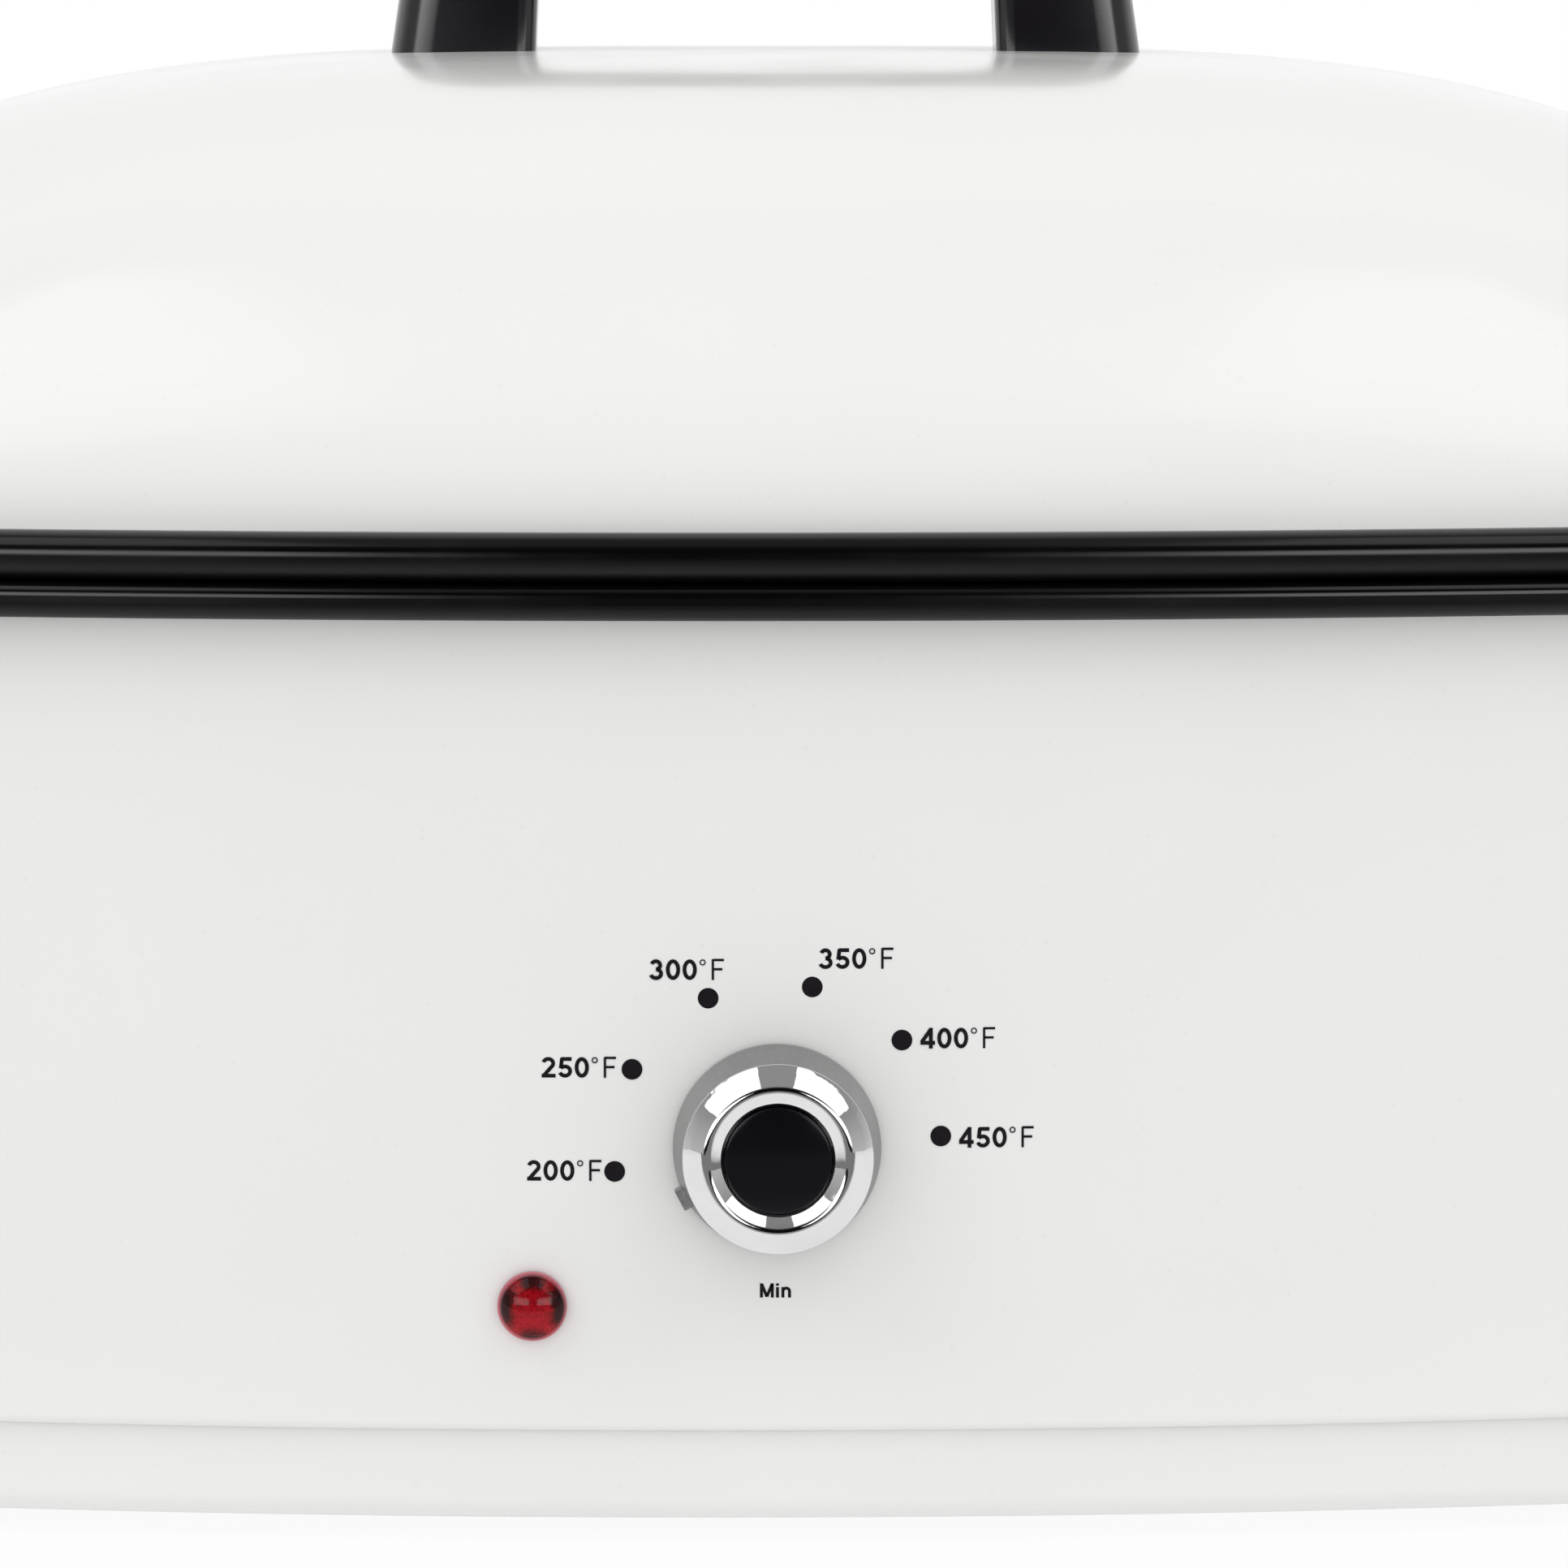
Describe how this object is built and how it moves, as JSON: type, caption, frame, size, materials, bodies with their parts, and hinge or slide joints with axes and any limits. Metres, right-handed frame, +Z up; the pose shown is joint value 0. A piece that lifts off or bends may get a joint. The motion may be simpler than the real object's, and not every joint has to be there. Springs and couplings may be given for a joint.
{
  "type": "electric roaster oven",
  "caption": "Countertop roaster oven: white oblong heated body with dial thermostat, lift-out enamelled cookwell, wire rack and domed lift-off lid.",
  "frame": {"origin": "on the table, under the middle of the body", "axes": "+Z up, -Y towards the knob at the front, +X to the right seen from the front"},
  "size_m": [0.59, 0.4126, 0.3099],
  "materials": {
    "white_enamel": "warm white gloss enamel",
    "black_enamel": "black gloss porcelain enamel",
    "aluminised_steel": "dull aluminised sheet",
    "chromed_wire": "bright chromed wire",
    "black_phenolic": "glossy moulded phenolic",
    "zinc_steel": "zinc-plated steel",
    "silver_plastic": "satin silver moulding",
    "chrome_plate": "mirror chrome plate on plastic",
    "black_gloss_plastic": "gloss black moulding",
    "moulded_case": "brown moulded phenolic",
    "brass": "plain brass",
    "red_lens": "translucent red moulding",
    "clear_glass": "clear glass",
    "sleeved_wire": "glass-fibre sleeved wire",
    "heater_mica": "steel-clad heating band",
    "glass_fibre": "soft glass-fibre felt",
    "copper_bulb": "copper",
    "black_rubber": "black moulded rubber",
    "bright_aluminium": "bright rolled sheet",
    "white_ceramic": "glazed steatite",
    "black_nylon": "black moulded nylon"
  },
  "bodies": {
    "body": {"body_front": "white_enamel", "body_back": "white_enamel", "base_pan": "white_enamel", "rim_trim": "black_enamel", "liner_well": "aluminised_steel", "thermostat_plate": "zinc_steel", "thermostat_screws": "zinc_steel", "thermostat_body": "moulded_case", "thermostat_tabs": "brass", "indicator_lens": "red_lens", "lens_push_nut": "zinc_steel", "neon_lamp": "clear_glass", "lamp_leads": "sleeved_wire", "heater_band": "heater_mica", "heater_terminals": "zinc_steel", "clamp_screw": "zinc_steel", "clamp_nut": "zinc_steel", "insulation_left": "glass_fibre", "insulation_right": "glass_fibre", "sensor_bulb": "copper_bulb", "sensor_clips": "zinc_steel", "capillary_tube": "copper_bulb", "rubber_feet": "black_rubber", "foot_screws": "zinc_steel", "liner_brackets": "aluminised_steel", "bottom_reflector": "bright_aluminium", "floor_insulation": "glass_fibre", "terminal_block": "white_ceramic", "terminal_screws": "brass", "cord_gland": "black_nylon", "gland_locknut": "black_nylon", "supply_lead": "sleeved_wire", "heater_leads": "sleeved_wire", "right_handle": "black_phenolic", "left_handle": "black_phenolic", "side_handle_screws": "zinc_steel"},
    "knob": {"knob_skirt": "silver_plastic", "knob_ring": "chrome_plate", "knob_cap": "black_gloss_plastic", "thermostat_shaft": "zinc_steel"},
    "cookwell": {"cookwell": "black_enamel"},
    "rack": {"rack_ring": "chromed_wire", "rack_bars": "chromed_wire", "rack_runners": "chromed_wire", "rack_handles": "chromed_wire"},
    "lid": {"lid_shell": "white_enamel", "lid_handle": "black_phenolic", "lid_handle_screws": "zinc_steel", "lid_handle_washers": "zinc_steel"}
  },
  "joints": [
    {"name": "knob_turn", "type": "hinge", "parent": "body", "child": "knob", "pos_m": [0, -0.1885, 0.0738], "axis": [0, -1, 0], "range_deg": [-204, 62]},
    {"name": "cookwell_lift", "type": "slide", "parent": "body", "child": "cookwell", "axis": [0, 0, 1], "range_m": [0, 0.2]},
    {"name": "rack_lift", "type": "slide", "parent": "cookwell", "child": "rack", "axis": [0, 0, 1], "range_m": [0, 0.2]},
    {"name": "lid_lift", "type": "slide", "parent": "rack", "child": "lid", "axis": [0, 0, 1], "range_m": [0, 0.2]}
  ]
}
